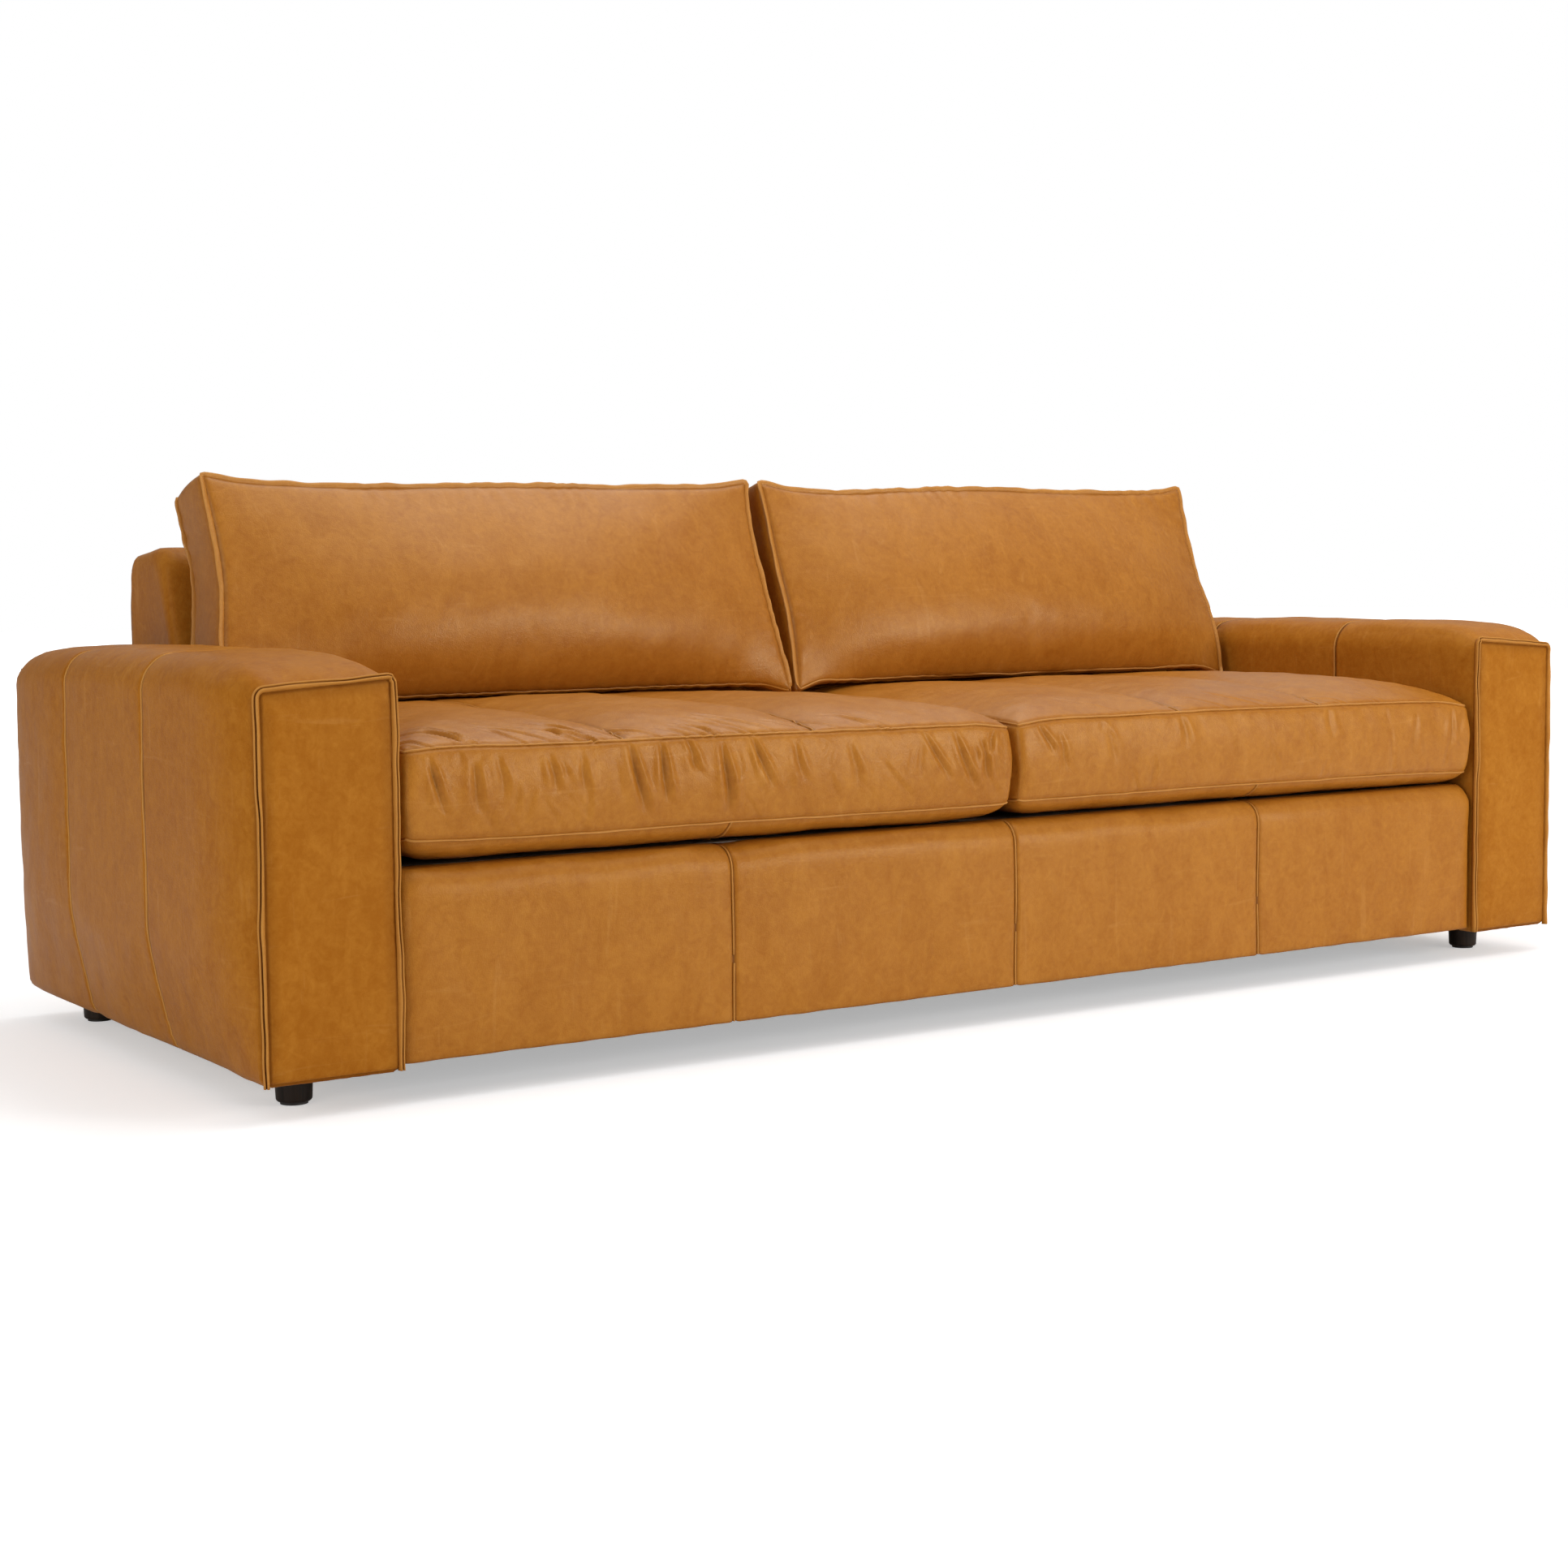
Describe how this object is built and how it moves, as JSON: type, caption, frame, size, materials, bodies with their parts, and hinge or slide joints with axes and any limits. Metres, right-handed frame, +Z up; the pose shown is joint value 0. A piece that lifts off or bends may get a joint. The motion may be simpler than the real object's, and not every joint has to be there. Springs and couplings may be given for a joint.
{
  "type": "two-seat sofa",
  "caption": "Wide low-armed leather sofa with loose box seat and back cushions, panel-seamed arms and front rail, on short turned wooden legs.",
  "frame": {"origin": "on the floor under the middle of the sofa, at the bottom centre of its bounding box", "axes": "+X to the right seen from the front, +Y towards the back so that the sofa faces -Y, +Z up"},
  "size_m": [2.44, 0.98, 0.8325],
  "materials": {
    "leather": "satin",
    "foam": "matte",
    "frame_wood": "matte",
    "fibreboard": "matte",
    "leg_wood": "satin",
    "spring_steel": "satin",
    "bolt_steel": "satin",
    "webbing": "matte",
    "felt": "matte",
    "deck_cloth": "matte",
    "dust_cloth": "matte",
    "glide_nylon": "satin"
  },
  "bodies": {
    "sofa_frame": {"arm_cover_left": "leather", "arm_cover_right": "leather", "arm_front_panel_left": "leather", "arm_front_panel_right": "leather", "front_rail_cover": "leather", "inside_back_cover": "leather", "outside_back_cover": "leather", "arm_pad_left": "foam", "arm_pad_right": "foam", "front_rail_pad": "foam", "back_pad": "foam", "seat_front_rail": "frame_wood", "seat_back_rail": "frame_wood", "seat_centre_rail": "frame_wood", "corner_blocks": "frame_wood", "back_top_rail": "frame_wood", "back_lower_rail": "frame_wood", "back_post_left": "frame_wood", "back_post_centre": "frame_wood", "back_post_right": "frame_wood", "seat_side_rail_left": "frame_wood", "seat_side_rail_right": "frame_wood", "arm_front_board_left": "frame_wood", "arm_front_board_right": "frame_wood", "arm_rear_board_left": "frame_wood", "arm_rear_board_right": "frame_wood", "arm_top_board_left": "frame_wood", "arm_top_board_right": "frame_wood", "arm_base_board_left": "frame_wood", "arm_base_board_right": "frame_wood", "arm_inner_panel_left": "frame_wood", "arm_inner_panel_right": "frame_wood", "arm_outer_panel_left": "fibreboard", "arm_outer_panel_right": "fibreboard", "leg_front_left": "leg_wood", "leg_front_right": "leg_wood", "leg_rear_left": "leg_wood", "leg_rear_right": "leg_wood", "leg_centre": "leg_wood", "seat_springs_left": "spring_steel", "seat_springs_right": "spring_steel", "spring_clips": "spring_steel", "arm_bolts": "bolt_steel", "arm_tee_nuts": "bolt_steel", "leg_bolts": "bolt_steel", "leg_tee_nuts": "bolt_steel", "back_webbing": "webbing", "deck_pad": "felt", "deck_cloth": "deck_cloth", "dust_cover": "dust_cloth", "leg_glides": "glide_nylon"},
    "seat_cushion_left": {"seat_cushion_cover_left": "leather", "seat_cushion_foam_left": "foam"},
    "seat_cushion_right": {"seat_cushion_cover_right": "leather", "seat_cushion_foam_right": "foam"},
    "back_cushion_left": {"back_cushion_cover_left": "leather", "back_cushion_fill_left": "foam"},
    "back_cushion_right": {"back_cushion_cover_right": "leather", "back_cushion_fill_right": "foam"}
  },
  "joints": [
    {"name": "seat_cushion_left_slide", "type": "slide", "parent": "sofa_frame", "child": "seat_cushion_left", "axis": [0, -1, 0], "range_m": [0, 0.8]},
    {"name": "seat_cushion_right_slide", "type": "slide", "parent": "sofa_frame", "child": "seat_cushion_right", "axis": [0, -1, 0], "range_m": [0, 0.8]},
    {"name": "back_cushion_left_lift", "type": "slide", "parent": "sofa_frame", "child": "back_cushion_left", "axis": [0, 0, 1], "range_m": [0, 0.45]},
    {"name": "back_cushion_right_lift", "type": "slide", "parent": "sofa_frame", "child": "back_cushion_right", "axis": [0, 0, 1], "range_m": [0, 0.45]}
  ]
}
